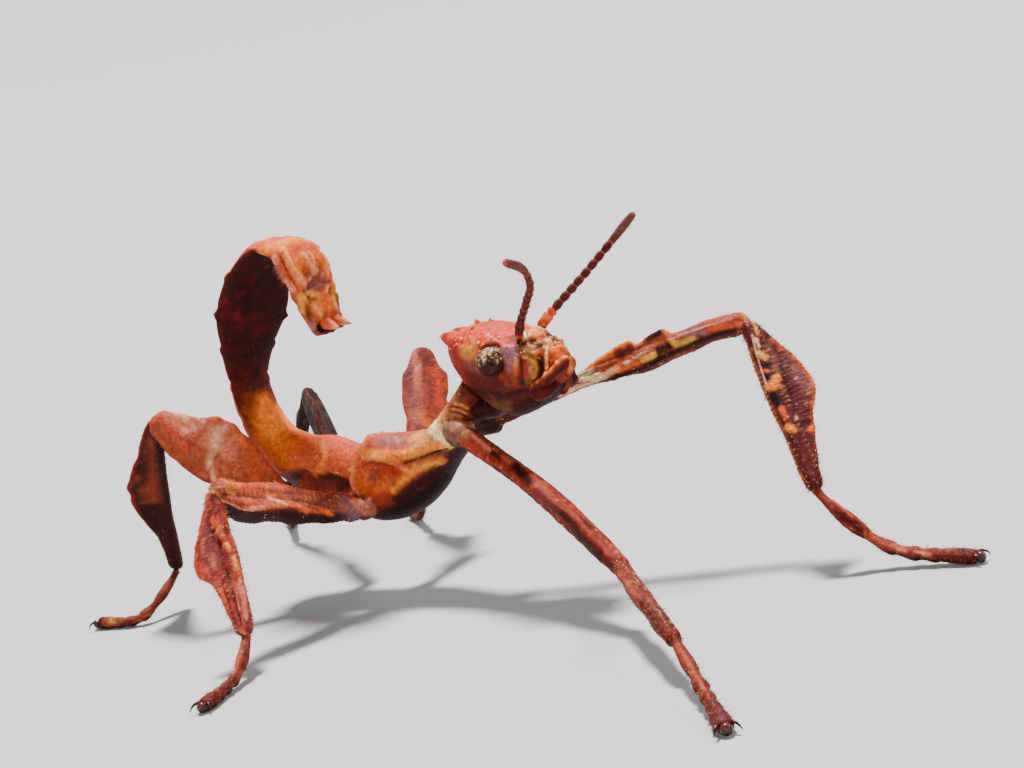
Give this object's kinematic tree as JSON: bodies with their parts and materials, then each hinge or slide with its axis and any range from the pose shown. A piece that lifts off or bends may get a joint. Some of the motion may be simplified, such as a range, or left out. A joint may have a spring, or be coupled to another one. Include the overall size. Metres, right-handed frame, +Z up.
{
  "type": "spiny leaf insect nymph model",
  "caption": "Life-size still model of a young spiny leaf insect standing on its six feet, abdomen curled over its back, one front leg reaching forward.",
  "frame": {"origin": "on the floor the feet rest on, below the middle of the insect's box", "axes": "+Z up, head faces -Y, +X to the insect's left side, tail side towards +Y"},
  "size_m": [0.023, 0.0416, 0.0149],
  "materials": {
    "body_skin": "satin, orange to red-brown with purple-grey mottling",
    "head_skin": "satin to glossy, brick red with orange patches",
    "mouthparts": "glossy orange-brown",
    "eye": "polished, silver-tan with dark brown branching marks",
    "antenna": "satin dark maroon, finely haired",
    "leg_skin": "satin brick red and maroon with dark blotches",
    "foot_skin": "satin orange-red, dark glossy claws"
  },
  "bodies": {
    "root": {"prothorax": "body_skin", "mesothorax": "body_skin", "metathorax": "body_skin", "abdomen_base": "body_skin", "abdomen_lower": "body_skin", "abdomen_middle": "body_skin", "abdomen_upper": "body_skin", "abdomen_tip": "body_skin", "head": "head_skin", "mouthparts": "mouthparts", "eye_right": "eye", "eye_left": "eye", "antenna_right": "antenna", "antenna_left": "antenna", "hip_front_right": "leg_skin", "thigh_front_right": "leg_skin", "shin_front_right": "leg_skin", "foot_front_right": "foot_skin", "hip_front_left": "leg_skin", "thigh_front_left": "leg_skin", "shin_front_left": "leg_skin", "foot_front_left": "foot_skin", "hip_middle_right": "leg_skin", "thigh_middle_right": "leg_skin", "shin_middle_right": "leg_skin", "foot_middle_right": "foot_skin", "hip_middle_left": "leg_skin", "thigh_middle_left": "leg_skin", "shin_middle_left": "leg_skin", "foot_middle_left": "foot_skin", "hip_hind_right": "leg_skin", "thigh_hind_right": "leg_skin", "shin_hind_right": "leg_skin", "foot_hind_right": "foot_skin", "hip_hind_left": "leg_skin", "thigh_hind_left": "leg_skin", "shin_hind_left": "leg_skin", "foot_hind_left": "foot_skin"}
  },
  "joints": []
}
